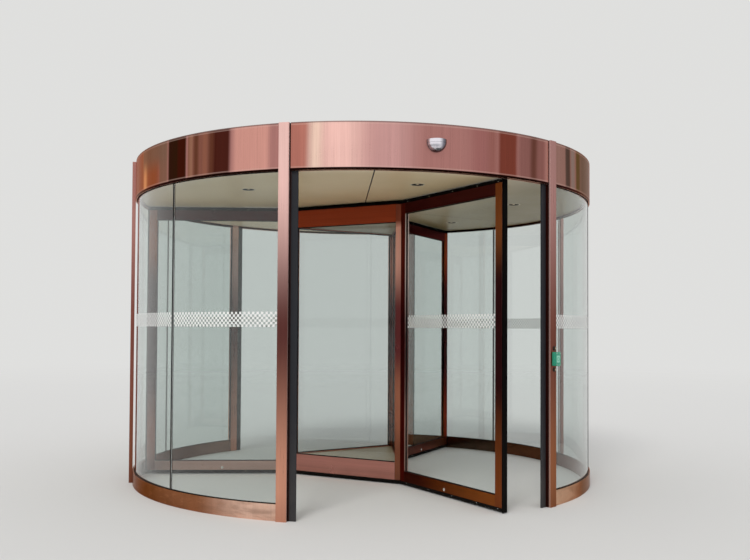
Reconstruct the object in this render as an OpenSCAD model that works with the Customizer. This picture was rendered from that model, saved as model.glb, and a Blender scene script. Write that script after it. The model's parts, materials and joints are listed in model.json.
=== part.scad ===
// Three wing revolving door with a glazed showcase core, in a round glass drum
// Millimetres, Z up, floor at zero, drum axis on the Z axis, street side toward -Y

/* [Drum] */
// Outside radius of the canopy band and the plinth
drum_r = 2010; // [1500:5:2600]
// Thickness of the curved wall from outside to inside
wall_t = 44; // [40:1:80]
// Height of the entrance opening
entry_h = 2400; // [2100:10:3000]
// Half of the angle that each entrance leaves open
entry_half = 29.15; // [24:0.05:34]
// Height of the canopy band
canopy_h = 332; // [220:2:600]
// Height of the curved plinth
plinth_h = 115; // [80:1:200]
// Thickness of the bent metal sheet
skin_t = 3; // [2:0.5:5]
// Height of the solid lip along the foot of the canopy
lip_h = 18; // [12:1:30]
// Width of the flange that carries the roof sheet
top_flange_w = 60; // [55:1:120]

/* [Entrance posts] */
// Width of the cover on each entrance post
post_w = 75.5; // [50:0.5:120]
// How far the cover stands proud of the drum
post_proud = 15; // [4:1:30]
// Wall thickness of the post profile
post_wall = 4; // [3:0.5:8]
// Rounding of the cover edges
post_round = 4; // [1:0.5:8]
// Width of the recessed reveal beside the cover
reveal_w = 9; // [6:1:30]
// Depth of the reveal behind the drum face
reveal_d = 22; // [12:1:26]
// How far the rubber nose reaches into the entrance
nose_reach = 57; // [45:1:110]
// Width of the rubber nose
nose_w = 18; // [16:1:20]
// Wall thickness of the hollow rubber
nose_wall = 4; // [3:0.5:5]
// Distance of the nose from the inner face of the wall
nose_inset = 2.5; // [0:0.5:4]

/* [Curved glass] */
// Thickness of the curved panes
pane_t = 12; // [8:1:20]
// Angle of the pane joint from the wall line of the building
pane_joint_a = 30.1; // [20:0.1:40]
// Width of the seal over a pane joint
seal_w = 14; // [12:1:40]
// Thickness of the seal on each side of the glass
seal_t = 3; // [1.5:0.5:6]
// Gap between two panes at their joint
joint_gap = 8; // [5:0.5:12]
// Depth of the grooves that hold the panes
groove_d = 9; // [5:0.5:9]

/* [Wall jambs] */
// Width of the jamb where the drum meets the building
jamb_w = 30; // [20:1:80]
// Depth of that jamb
jamb_d = 60; // [40:1:120]
// Wall thickness of the jamb tube
jamb_wall = 3; // [2:0.5:6]

/* [Ceiling] */
// Thickness of the ceiling panels
ceiling_t = 15; // [8:1:40]
// Direction of the first joint between ceiling panels
ceiling_joint_a = -102.1; // [-115:0.1:-95]
// Gap between ceiling panels
ceiling_gap = 6; // [1:0.5:8]
// Number of ceiling panels
ceiling_panels = 3; // [3:1:3]
// How far the ceiling rests on the canopy lip
ceiling_rest = 12; // [6:1:18]
// Radius of the circle of downlights
light_circle_r = 1360; // [900:5:1600]
// Angle from a ceiling joint to the next downlight
light_offset_a = 15.3; // [8:0.1:40]
// Outside diameter of a downlight ring
light_d = 116; // [60:1:140]
// Diameter of the lamp opening
lamp_d = 94; // [40:1:100]
// Height of a downlight can
light_h = 70; // [40:1:110]
// Thickness of a downlight ring
light_ring_t = 5; // [3:0.5:7]

/* [Rotor] */
// Direction of the first wing at rest
rest_a = -72.82; // [-88:0.02:-62]
// Distance from the axis to a corner of the showcase
core_r = 685; // [450:5:850]
// Gap between the wing tips and the curved wall
tip_gap = 8; // [6:0.5:20]
// Gap between the rotor and the floor
floor_gap = 6; // [5.5:0.5:15]
// Gap between the rotor and the ceiling
ceiling_clear = 6; // [5.5:0.5:15]
// Height of the brush seals
brush_h = 32; // [26:1:60]
// Width of the brush
brush_w = 34; // [20:1:38]
// Width of the strip that holds the brush
brush_base_w = 42; // [30:1:42]
// Height of the strip that holds the brush
brush_base_h = 20; // [10:1:22]
// Thickness of the wing frames
wing_t = 44; // [42:1:60]
// Width of the outer upright of a wing
wing_stile_w = 73; // [50:1:110]
// Width of the inner upright of a wing
wing_root_w = 62; // [50:1:150]
// Height of the top rail of a wing
wing_top_h = 87; // [60:1:150]
// Height of the bottom rail of a wing
wing_bottom_h = 81; // [60:1:200]
// Thickness of the wing and showcase glass
glass_t = 10; // [6:1:12]
// Depth of the grooves in the frames
frame_groove = 8; // [5:0.5:12]
// Length of the rubber at the wing tip
tip_rubber_l = 15; // [15:1:60]
// Thickness of the rubber at the wing tip
tip_rubber_t = 42; // [24:1:44]
// Rounding of the corners of that rubber
tip_round = 7; // [3:0.5:7]

/* [Showcase] */
// Thickness of the showcase frame
core_t = 45; // [42:1:60]
// Width of the showcase uprights
core_stile_w = 94; // [82:1:140]
// Height of the top rail of the showcase
core_top_h = 151; // [90:1:220]
// Height of the bottom rail of the showcase
core_bottom_h = 146; // [80:1:200]
// Thickness of the showcase floor and top
deck_t = 12; // [8:1:30]

/* [Drive] */
// Radius of the spindle
spindle_r = 45; // [30:1:70]
// Radial running clearance of the spindle
spindle_fit = 0.05; // [0.02:0.01:0.1]
// Wall of the bearing sleeve
bearing_wall = 30; // [15:1:50]
// Width of the flange on the bearing and the spindle
flange_w = 35; // [15:1:60]
// Thickness of these flanges
flange_t = 12; // [8:1:25]
// Width of the drive beam
beam_w = 240; // [230:5:400]
// Height of the drive beam
beam_h = 100; // [60:5:150]
// Wall thickness of the drive beam
beam_wall = 6; // [4:1:12]
// Gap between the ceiling and the drive beam
beam_gap = 12; // [5:1:60]

/* [Sensors and release] */
// Width of the dome sensor
dome_w = 140; // [60:2:160]
// Height of the dome sensor
dome_h = 86; // [80:1:160]
// Height of the dome top above the entrance opening
dome_up = 217; // [150:1:280]
// Wall of the dome shell
dome_wall = 4; // [2:0.5:8]
// Width of the green release unit
release_w = 56; // [40:1:60]
// Height of the green release unit
release_h = 104; // [70:1:116]
// Depth of the green release unit
release_d = 36; // [20:1:60]
// Height of its centre above the floor
release_z = 1098; // [900:5:1300]
// Distance of the studs from the centre of the unit
stud_offset = 79; // [76:1:120]
// Diameter of the studs
stud_d = 30; // [10:1:34]

/* [Hidden] */
$fn = 240;
// clearance of pieces that sit on or beside each other
seat = 0.3;
// small amount by which a cut runs past a face
cut = 1;
top_z = entry_h + canopy_h;
inner_r = drum_r - wall_t;
pane_mid_r = drum_r - wall_t / 2;
groove_w = pane_t + 2;
joint_half_a = asin(joint_gap / 2 / pane_mid_r);
seal_half_a = asin(seal_w / 2 / pane_mid_r);
web_half_a = asin((joint_gap / 2 - seat) / pane_mid_r);
ceiling_z = entry_h + lip_h;
ceiling_top = ceiling_z + ceiling_t;
post_side_a = asin((post_w + seat) / inner_r);
wall_start_a = -90 + entry_half + post_side_a;
reveal_side_a = asin((reveal_w + seat) / inner_r);
front_half_a = entry_half - reveal_side_a;
nose_r = nose_w / 2;
nose_x = -wall_t + nose_inset + nose_r;
tip_r = inner_r - tip_gap;
rotor_top = ceiling_z - ceiling_clear;
frame_top = rotor_top - brush_h;
frame_bottom = floor_gap + brush_h;
face_d = core_r / 2;
half_side = face_d * sqrt(3);
inner_face_d = face_d - core_t;
corner_cut_r = core_r - wing_t / 2 * sqrt(3);
wing_root_x = corner_cut_r + seat;
wing_end_x = tip_r - tip_rubber_l;
wing_glass_x0 = wing_root_x + wing_root_w;
wing_glass_x1 = wing_end_x - wing_stile_w;
wing_glass_z0 = frame_bottom + wing_bottom_h;
wing_glass_z1 = frame_top - wing_top_h;
core_win = half_side - core_stile_w;
core_glass_z0 = frame_bottom + core_bottom_h;
core_glass_z1 = frame_top - core_top_h;
glass_slot = glass_t + 1;
beam_z = ceiling_top + beam_gap;
beam_top = beam_z + beam_h;
bearing_r = spindle_r + bearing_wall;
bore_r = spindle_r + spindle_fit;
ceiling_hole_r = spindle_r + 15;
sleeve_top = beam_top + seat + flange_t;
dome_r = dome_w / 2;
dome_top = entry_h + dome_up;

copper = [0.76, 0.48, 0.44];
copper_dark = [0.55, 0.30, 0.26];
black = [0.1, 0.1, 0.11];
slate = [0.26, 0.27, 0.3];
clear = [0.6, 0.75, 0.72, 0.5];
cream = [0.72, 0.66, 0.54];
steel = [0.7, 0.7, 0.72];
green = [0.1, 0.6, 0.42];

// the same piece in one of the four quarters, made from the front right one
module quarter(left, rear) {
  mirror([left ? 1 : 0, 0, 0])
    mirror([0, rear ? 1 : 0, 0])
      children();
}

// turns a section drawn in radius and height through an arc
module arc(start_a, end_a) {
  rotate([0, 0, start_a])
    rotate_extrude(angle = end_a - start_a)
      children();
}

// local frame at the entrance edge: x outward, y away from the opening
module at_entrance_edge() {
  rotate([0, 0, -90 + entry_half])
    translate([drum_r, 0, 0])
      children();
}

module rounded(w, h, r) {
  union() {
    translate([r, 0])
      square([w - 2 * r, h]);
    translate([0, r])
      square([w, h - 2 * r]);
    for (x = [r, w - r], y = [r, h - r])
      translate([x, y])
        circle(r = r);
  }
}

// space that a post takes out of flat pieces inside the canopy
module post_clearance(z, h) {
  for (left = [false, true], rear = [false, true])
    quarter(left, rear)
      at_entrance_edge()
        translate([-wall_t - seat, -reveal_w - seat, z - cut])
          cube([wall_t + 2 * seat + cut, post_w + reveal_w + 2 * seat, h + 2 * cut]);
}

// canopy band with a lip below, which holds the glass, and a flange on top
module fascia_section() {
  difference() {
    translate([drum_r - top_flange_w, entry_h])
      square([top_flange_w, canopy_h]);
    translate([drum_r - top_flange_w - cut, entry_h + lip_h])
      square([top_flange_w - skin_t + cut, canopy_h - lip_h - 2 * skin_t]);
    translate([drum_r - top_flange_w - cut, entry_h - cut])
      square([top_flange_w - wall_t + cut, lip_h + 2 * cut]);
    translate([drum_r - top_flange_w - cut, top_z - skin_t])
      square([top_flange_w - skin_t + cut, skin_t + cut]);
    translate([pane_mid_r - groove_w / 2, entry_h - cut])
      square([groove_w, groove_d + cut]);
  }
}

module fascia_entrance() {
  arc(-90 - front_half_a, -90 + front_half_a)
    fascia_section();
}

module fascia_side() {
  arc(wall_start_a, -wall_start_a)
    fascia_section();
}

module fascia_front() {
  color(copper)
    fascia_entrance();
}

module fascia_rear() {
  color(copper)
    mirror([0, 1, 0])
      fascia_entrance();
}

module fascia_left() {
  color(copper)
    mirror([1, 0, 0])
      fascia_side();
}

module fascia_right() {
  color(copper)
    fascia_side();
}

module canopy_roof() {
  color(copper_dark)
    difference() {
      translate([0, 0, top_z - skin_t + seat])
        cylinder(r = drum_r - skin_t - seat, h = skin_t - seat);
      post_clearance(top_z - skin_t, skin_t);
    }
}

module ceiling_panel(i) {
  gap_a = ceiling_gap / drum_r * 90 / PI;
  step_a = 360 / ceiling_panels;
  start_a = ceiling_joint_a + i * step_a;
  color(cream)
    difference() {
      arc(start_a + gap_a, start_a + step_a - gap_a)
        translate([ceiling_hole_r, ceiling_z + seat])
          square([inner_r + ceiling_rest - ceiling_hole_r, ceiling_t - seat]);
      post_clearance(ceiling_z, ceiling_t);
      for (k = [0, 1])
        rotate([0, 0, start_a + light_offset_a + k * step_a / 2])
          translate([light_circle_r, 0, ceiling_z - cut])
            union() {
              cylinder(d = light_d + 2 * seat, h = light_ring_t + seat + cut);
              cylinder(d = lamp_d + 2 * light_ring_t + 2 * seat, h = ceiling_t + 2 * cut);
            }
    }
}

// recessed cans, open below, each with a flat ring let into the ceiling
module downlight() {
  difference() {
    union() {
      cylinder(d = light_d, h = light_ring_t);
      cylinder(d = lamp_d + 2 * light_ring_t, h = light_h);
    }
    translate([0, 0, -cut])
      cylinder(d = lamp_d, h = light_h - light_ring_t + cut);
  }
}

module downlights() {
  color(steel)
    for (i = [0 : ceiling_panels - 1], k = [0, 1])
      rotate([0, 0, ceiling_joint_a + light_offset_a + (i + k / 2) * 360 / ceiling_panels])
        translate([light_circle_r, 0, ceiling_z + seat])
          downlight();
}

// box beam through the canopy that carries the bearing
module drive_beam() {
  half_l = sqrt(pow(drum_r - skin_t - seat, 2) - pow(beam_w / 2, 2));
  color(steel)
    difference() {
      translate([-half_l, -beam_w / 2, beam_z])
        cube([2 * half_l, beam_w, beam_h]);
      translate([-half_l - cut, -beam_w / 2 + beam_wall, beam_z + beam_wall])
        cube([2 * half_l + 2 * cut, beam_w - 2 * beam_wall, beam_h - 2 * beam_wall]);
      translate([0, 0, beam_z - cut])
        cylinder(r = bearing_r + seat, h = beam_h + 2 * cut);
    }
}

module top_bearing() {
  color(steel)
    difference() {
      union() {
        translate([0, 0, beam_z])
          cylinder(r = bearing_r, h = sleeve_top - beam_z);
        translate([0, 0, beam_top + seat])
          cylinder(r = bearing_r + flange_w, h = flange_t);
      }
      translate([0, 0, beam_z - cut])
        cylinder(r = bore_r, h = sleeve_top - beam_z + 2 * cut);
    }
}

// tube with a proud rounded cover, and a flange that carries the rubber
module post_section() {
  difference() {
    union() {
      translate([-wall_t, 0])
        rounded(wall_t + post_proud, post_w, post_round);
      translate([-wall_t, 0])
        square([wall_t / 2, post_w]);
      translate([-wall_t + post_wall, -reveal_w])
        square([wall_t - post_wall - reveal_d, reveal_w + post_wall]);
    }
    translate([-wall_t + post_wall, post_wall])
      square([wall_t + post_proud - 2 * post_wall, post_w - 2 * post_wall]);
  }
}

module post(left, rear) {
  color(copper)
    quarter(left, rear)
      at_entrance_edge()
        linear_extrude(top_z)
          post_section();
}

// hollow safety edge with a round nose
module rubber_section() {
  reach = nose_reach - nose_r;
  difference() {
    union() {
      translate([nose_x, -reach])
        circle(r = nose_r);
      translate([nose_x - nose_r, -reach])
        square([nose_w, reach - reveal_w - seat]);
    }
    translate([nose_x, -reach])
      circle(r = nose_r - nose_wall);
    translate([nose_x - nose_r + nose_wall, -reach])
      square([nose_w - 2 * nose_wall, reach - reveal_w - seat - nose_wall]);
  }
}

module rubber_edge(left, rear) {
  color(slate)
    quarter(left, rear)
      at_entrance_edge()
        translate([0, 0, seat])
          linear_extrude(entry_h - 2 * seat)
            rubber_section();
}

// box section with a groove on top for the panes
module plinth_section() {
  slot_x = pane_mid_r - groove_w / 2;
  difference() {
    translate([inner_r, 0])
      square([wall_t, plinth_h]);
    translate([slot_x, plinth_h - groove_d])
      square([groove_w, groove_d + cut]);
    translate([inner_r + skin_t, skin_t])
      square([wall_t - 2 * skin_t, plinth_h - groove_d - 2 * skin_t]);
  }
}

module plinth(left, rear) {
  color(copper)
    quarter(left, rear)
      arc(wall_start_a, 0)
        plinth_section();
}

module pane_arc(start_a, end_a) {
  z0 = plinth_h - groove_d + seat;
  z1 = entry_h + groove_d - seat;
  color(clear)
    arc(start_a, end_a)
      translate([pane_mid_r - pane_t / 2, z0])
        square([pane_t, z1 - z0]);
}

module pane_by_post(left, rear) {
  quarter(left, rear)
    pane_arc(wall_start_a, -pane_joint_a - joint_half_a);
}

module pane_by_wall(left, rear) {
  quarter(left, rear)
    pane_arc(-pane_joint_a + joint_half_a, 0);
}

// seal with an H section over the joint of two panes
module pane_seal() {
  z0 = plinth_h + seat;
  z1 = entry_h - seat;
  half_gap = pane_t / 2 + seat;
  union() {
    for (r = [pane_mid_r - half_gap - seal_t, pane_mid_r + half_gap])
      arc(-pane_joint_a - seal_half_a, -pane_joint_a + seal_half_a)
        translate([r, z0])
          square([seal_t, z1 - z0]);
    arc(-pane_joint_a - web_half_a, -pane_joint_a + web_half_a)
      translate([pane_mid_r - half_gap - seal_t / 2, z0])
        square([2 * half_gap + seal_t, z1 - z0]);
  }
}

module pane_seals(left) {
  color(black)
    for (rear = [false, true])
      quarter(left, rear)
        pane_seal();
}

// upright tube between the drum and the wall of the building
module jamb(left) {
  color(copper)
    quarter(left, false)
      translate([drum_r + seat, 0, 0])
        linear_extrude(top_z)
          difference() {
            square([jamb_w, jamb_d]);
            translate([jamb_wall, jamb_wall])
              square([jamb_w - 2 * jamb_wall, jamb_d - 2 * jamb_wall]);
          }
}

// bowl with a flat top, drawn in radius and height from its centre
module dome_outline(r, h) {
  union() {
    intersection() {
      circle(r = r);
      translate([0, -r])
        square([r, r]);
    }
    square([r, h]);
  }
}

// hollow half dome with a flat top, standing on the face of the canopy
module dome_sensor() {
  difference() {
    translate([0, -drum_r, dome_top - dome_h + dome_r])
      rotate_extrude()
        difference() {
          dome_outline(dome_r, dome_h - dome_r);
          dome_outline(dome_r - dome_wall, dome_h - dome_r - dome_wall);
        }
    translate([0, 0, entry_h])
      cylinder(r = drum_r + seat, h = canopy_h);
  }
}

module dome_sensor_front() {
  color(steel)
    dome_sensor();
}

module dome_sensor_rear() {
  color(steel)
    mirror([0, 1, 0])
      dome_sensor();
}

// face of the cover on the front right post: x outward, y across, z up
module on_release_post() {
  at_entrance_edge()
    translate([post_proud + seat, 0, 0])
      children();
}

module release_unit() {
  rim = 7;
  color(green)
    on_release_post()
      difference() {
        translate([0, post_w - release_w, release_z - release_h / 2])
          rotate([90, 0, 90])
            linear_extrude(release_d)
              rounded(release_w, release_h, 8);
        translate([release_d - 3, post_w - release_w + rim, release_z - release_h / 4])
          rotate([90, 0, 90])
            linear_extrude(3 + cut)
              rounded(release_w - 2 * rim, release_h / 2, 5);
      }
}

module release_studs() {
  color(steel)
    on_release_post()
      for (s = [-1, 1])
        translate([0, post_w - release_w / 2, release_z + s * stud_offset])
          rotate([0, 90, 0])
            union() {
              cylinder(d = stud_d, h = 6);
              cylinder(d = stud_d / 2, h = 9);
            }
}

module turn_rotor() {
  rotate([0, 0, rest_a])
    children();
}

// triangle with a face at the given distance from the axis
module triangle(d) {
  circle(r = 2 * d, $fn = 3);
}

module cut_corners() {
  for (i = [0 : 2])
    rotate([0, 0, 120 * i])
      translate([corner_cut_r, -core_r / 2])
        square([core_r, core_r]);
}

// window box through one face of the showcase, x along the outward normal
module at_face(i) {
  rotate([0, 0, 60 + 120 * i])
    children();
}

module showcase_frame() {
  color(copper_dark)
    turn_rotor()
      difference() {
        translate([0, 0, frame_bottom])
          linear_extrude(frame_top - frame_bottom)
            difference() {
              triangle(face_d);
              triangle(inner_face_d);
              cut_corners();
            }
        for (i = [0 : 2])
          at_face(i)
            union() {
              translate([inner_face_d - cut, -core_win, core_glass_z0])
                cube([core_t + 2 * cut, 2 * core_win, core_glass_z1 - core_glass_z0]);
              translate([face_d - core_t / 2 - glass_slot / 2, -core_win - frame_groove, core_glass_z0 - frame_groove])
                cube([
                  glass_slot,
                  2 * (core_win + frame_groove),
                  core_glass_z1 - core_glass_z0 + 2 * frame_groove
                ]);
            }
      }
}

module showcase_glass(i) {
  half_w = core_win + frame_groove - seat;
  z0 = core_glass_z0 - frame_groove + seat;
  z1 = core_glass_z1 + frame_groove - seat;
  color(clear)
    turn_rotor()
      at_face(i)
        translate([face_d - core_t / 2 - glass_t / 2, -half_w, z0])
          cube([glass_t, 2 * half_w, z1 - z0]);
}

module deck(z) {
  translate([0, 0, z])
    linear_extrude(deck_t)
      triangle(inner_face_d - seat);
}

module showcase_floor() {
  color(cream)
    turn_rotor()
      deck(core_glass_z0 - frame_groove - deck_t);
}

module showcase_top() {
  color(cream)
    turn_rotor()
      deck(core_glass_z1 + frame_groove);
}

// shaft that hangs in the bearing and carries the rotor by its lower flange
module spindle() {
  z0 = core_glass_z1 + frame_groove + deck_t + seat;
  color(steel)
    union() {
      translate([0, 0, z0])
        cylinder(r = spindle_r, h = sleeve_top + seat + flange_t - z0);
      translate([0, 0, z0])
        cylinder(r = spindle_r + 2 * flange_w, h = flange_t);
      translate([0, 0, sleeve_top + seat])
        cylinder(r = spindle_r + flange_w, h = flange_t);
    }
}

module at_wing(i) {
  turn_rotor()
    rotate([0, 0, 120 * i])
      children();
}

module wing_frame(i) {
  win_l = wing_glass_x1 - wing_glass_x0;
  win_h = wing_glass_z1 - wing_glass_z0;
  color(copper_dark)
    at_wing(i)
      difference() {
        translate([wing_root_x, -wing_t / 2, frame_bottom])
          cube([wing_end_x - wing_root_x, wing_t, frame_top - frame_bottom]);
        translate([wing_glass_x0, -wing_t / 2 - cut, wing_glass_z0])
          cube([win_l, wing_t + 2 * cut, win_h]);
        translate([wing_glass_x0 - frame_groove, -glass_slot / 2, wing_glass_z0 - frame_groove])
          cube([win_l + 2 * frame_groove, glass_slot, win_h + 2 * frame_groove]);
      }
}

module wing_glass(i) {
  x0 = wing_glass_x0 - frame_groove + seat;
  x1 = wing_glass_x1 + frame_groove - seat;
  z0 = wing_glass_z0 - frame_groove + seat;
  z1 = wing_glass_z1 + frame_groove - seat;
  color(clear)
    at_wing(i)
      translate([x0, -glass_t / 2, z0])
        cube([x1 - x0, glass_t, z1 - z0]);
}

// rubber with rounded corners that runs the full height of the rotor
module wing_rubber(i) {
  len = tip_rubber_l - seat;
  half_t = tip_rubber_t / 2;
  color(black)
    at_wing(i)
      translate([wing_end_x + seat, 0, floor_gap])
        linear_extrude(rotor_top - floor_gap)
          union() {
            translate([0, -half_t])
              square([len - tip_round, tip_rubber_t]);
            translate([0, -half_t + tip_round])
              square([len, tip_rubber_t - 2 * tip_round]);
            for (s = [-1, 1])
              translate([len - tip_round, s * (half_t - tip_round)])
                circle(r = tip_round);
          }
}

// plan of the seals: a triangle with three arms
module seal_plan(w, d) {
  difference() {
    union() {
      triangle(d + w / 2);
      for (i = [0 : 2])
        rotate([0, 0, 120 * i])
          translate([core_r / 2, -w / 2])
            square([wing_end_x - core_r / 2, w]);
    }
    triangle(d - w / 2);
    difference() {
      cut_corners();
      for (i = [0 : 2])
        rotate([0, 0, 120 * i])
          translate([core_r / 2, -w / 2])
            square([wing_end_x - core_r / 2, w]);
    }
  }
}

module brush_seal() {
  union() {
    linear_extrude(brush_base_h)
      seal_plan(brush_base_w, face_d - core_t / 2);
    linear_extrude(brush_h - seat)
      seal_plan(brush_w, face_d - core_t / 2);
  }
}

module brush_seal_top() {
  color(black)
    turn_rotor()
      translate([0, 0, frame_top + seat])
        brush_seal();
}

module brush_seal_bottom() {
  color(black)
    turn_rotor()
      translate([0, 0, frame_bottom - seat])
        mirror([0, 0, 1])
          brush_seal();
}

fascia_front();
fascia_rear();
fascia_left();
fascia_right();
canopy_roof();
ceiling_panel(0);  // ceiling_panel_1
ceiling_panel(1);  // ceiling_panel_2
ceiling_panel(2);  // ceiling_panel_3
downlights();
drive_beam();
top_bearing();
post(true, false);  // post_front_left
post(false, false);  // post_front_right
post(true, true);  // post_rear_left
post(false, true);  // post_rear_right
rubber_edge(true, false);  // rubber_front_left
rubber_edge(false, false);  // rubber_front_right
rubber_edge(true, true);  // rubber_rear_left
rubber_edge(false, true);  // rubber_rear_right
plinth(true, false);  // plinth_front_left
plinth(false, false);  // plinth_front_right
plinth(true, true);  // plinth_rear_left
plinth(false, true);  // plinth_rear_right
pane_by_post(true, false);  // pane_front_left_1
pane_by_wall(true, false);  // pane_front_left_2
pane_by_post(false, false);  // pane_front_right_1
pane_by_wall(false, false);  // pane_front_right_2
pane_by_post(true, true);  // pane_rear_left_1
pane_by_wall(true, true);  // pane_rear_left_2
pane_by_post(false, true);  // pane_rear_right_1
pane_by_wall(false, true);  // pane_rear_right_2
pane_seals(true);  // pane_seals_left
pane_seals(false);  // pane_seals_right
jamb(true);  // jamb_left
jamb(false);  // jamb_right
dome_sensor_front();
dome_sensor_rear();
release_unit();
release_studs();
showcase_frame();
showcase_glass(0);  // showcase_glass_1
showcase_glass(1);  // showcase_glass_2
showcase_glass(2);  // showcase_glass_3
showcase_floor();
showcase_top();
spindle();
wing_frame(0);  // wing_frame_1
wing_frame(1);  // wing_frame_2
wing_frame(2);  // wing_frame_3
wing_glass(0);  // wing_glass_1
wing_glass(1);  // wing_glass_2
wing_glass(2);  // wing_glass_3
wing_rubber(0);  // wing_rubber_1
wing_rubber(1);  // wing_rubber_2
wing_rubber(2);  // wing_rubber_3
brush_seal_top();
brush_seal_bottom();
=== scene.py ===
"""Looks of the revolving door: materials, fine detail, stage, light and camera. Metres, Z up."""
import json
import math
import random

import bmesh
import bpy
from mathutils import Matrix, Vector

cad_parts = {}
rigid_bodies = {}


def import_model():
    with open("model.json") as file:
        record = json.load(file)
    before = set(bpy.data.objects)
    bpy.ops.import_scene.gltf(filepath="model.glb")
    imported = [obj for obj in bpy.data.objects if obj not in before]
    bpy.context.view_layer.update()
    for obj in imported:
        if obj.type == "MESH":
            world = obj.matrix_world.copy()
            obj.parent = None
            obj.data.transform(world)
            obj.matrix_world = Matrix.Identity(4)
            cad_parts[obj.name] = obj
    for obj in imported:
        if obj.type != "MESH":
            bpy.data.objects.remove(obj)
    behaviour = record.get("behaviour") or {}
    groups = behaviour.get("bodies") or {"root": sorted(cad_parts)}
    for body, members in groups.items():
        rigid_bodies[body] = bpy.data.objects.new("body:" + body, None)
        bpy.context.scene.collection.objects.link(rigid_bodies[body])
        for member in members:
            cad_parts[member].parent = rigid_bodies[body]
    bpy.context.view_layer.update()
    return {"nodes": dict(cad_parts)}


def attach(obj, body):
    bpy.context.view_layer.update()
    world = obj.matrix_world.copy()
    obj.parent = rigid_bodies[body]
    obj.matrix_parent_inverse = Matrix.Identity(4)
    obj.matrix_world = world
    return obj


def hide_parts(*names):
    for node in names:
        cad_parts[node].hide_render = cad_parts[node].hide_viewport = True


for old in list(bpy.data.objects):
    bpy.data.objects.remove(old)

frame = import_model()
nodes = frame["nodes"]
rng = random.Random(7)

# drum, as in the CAD: lengths in metres and angles in degrees, counted from the wall line on the right.
# ENTRY_HALF is half the entrance's angle, and POST_A is in radians.
DRUM_R, WALL_T = 2.010, 0.044
INNER_R = DRUM_R - WALL_T
PANE_MID, PANE_T = DRUM_R - WALL_T / 2, 0.012
PANE_IN, PANE_OUT = PANE_MID - PANE_T / 2, PANE_MID + PANE_T / 2
ENTRY_H, CANOPY_H, PLINTH_H = 2.400, 0.332, 0.115
TOP = ENTRY_H + CANOPY_H
LIP_H = 0.018
SEAT = 0.0003

ENTRY_HALF = 29.15
POST_A = math.radians(-90 + ENTRY_HALF)
POST_W, POST_PROUD, POST_WALL = 0.0755, 0.015, 0.004
JAMB_W, JAMB_D, JAMB_WALL = 0.030, 0.060, 0.003
WALL_A = -90 + ENTRY_HALF + math.degrees(math.asin((POST_W + SEAT) / INNER_R))
PANE_JOINT, PANE_SEAL_W = 30.1, 0.014

CEILING_Z = ENTRY_H + LIP_H
CEILING_JOINT, CEILING_BOARDS, ROOF_SHEETS = -102.1, 3, 6
LIGHT_R, LIGHT_FIRST, LIGHT_COUNT = 1.360, CEILING_JOINT + 15.3, 6
LIGHT_D, LAMP_D = 0.116, 0.094

# rotor, as in the CAD: angles in radians
REST = math.radians(-72.82)
WING_A = [REST + math.radians(120 * i) for i in range(3)]
FACE_A = [REST + math.radians(60 + 120 * i) for i in range(3)]
FLOOR_GAP, BRUSH_H, BRUSH_W = 0.006, 0.032, 0.034
HOLDER_H, HOLDER_W = 0.020, 0.042
ROTOR_TOP = CEILING_Z - 0.006
FRAME_Z0, FRAME_Z1 = FLOOR_GAP + BRUSH_H, ROTOR_TOP - BRUSH_H

WING_T, GLASS_T = 0.044, 0.010
CORE_R, CORE_T = 0.685, 0.045
STILE_X1 = INNER_R - 0.008 - 0.015
GLASS_X0 = CORE_R - WING_T / 2 * math.sqrt(3) + SEAT + 0.062
GLASS_X1 = STILE_X1 - 0.073
GLASS_Z0, GLASS_Z1 = FRAME_Z0 + 0.081, FRAME_Z1 - 0.087

CORE_D = CORE_R / 2
CORE_IN, CORE_MID = CORE_D - CORE_T, CORE_D - CORE_T / 2
CORE_W = CORE_D * math.sqrt(3) - 0.094
CORE_Z0, CORE_Z1 = FRAME_Z0 + 0.146, FRAME_Z1 - 0.151

# small parts, as in the CAD
DOME_R, DOME_Z = 0.070, ENTRY_H + 0.201
RELEASE_Z, RELEASE_W, RELEASE_D = 1.098, 0.056, 0.036
STUD_OFFSET, STUD_R = 0.079, 0.015

# fine detail of this script. AXIS_R is the radius where a turned section meets its axis.
BAND_Z0, BAND_CELL, BAND_ROWS, BAND_FILL = 1.325, 0.0175, 6, 0.995
SKIN, FILM_T = 0.0001, 0.0004
GASKET_W, WING_GASKET, CORE_GASKET = 0.0055, 0.0061, 0.0065
BEAD_REACH, BEAD_H, POST_BEAD_H = 0.0062, 0.004, 0.007
TUFT_STEP, TUFT_ROWS, TUFT_CORNERS = 0.0050, (-2, -1, 0, 1, 2), (0.4, 2.5, 4.6)
LOCK_X, LOCK_Z = 1.262, 0.060
HOLDER_SCREWS = (0.74, 1.05, 1.36, 1.66, 1.90)
AXIS_R = 0.00002

# stage and camera, which was solved from the photograph: place in metres, turns in radians
FLOOR_TONE, BACK_TONE, LIGHT_TONE = 0.71, 0.74, 0.74
FLOOR_R, FLOOR_Z, FADE_NEAR, FADE_FAR = 60.0, -0.0002, 7.0, 26.0
PHOTO_W, PHOTO_H = 750, 560
CAMERA_AT = (-1.92322495, -7.48854627, 1.31855167)
YAW, PITCH, ROLL = 0.26531896, 0.02546723, 0.00531510
FOCAL_PX, CENTRE_X, CENTRE_Y = 845.495, 374.777, 306.867
SENSOR_MM = 36.0


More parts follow.
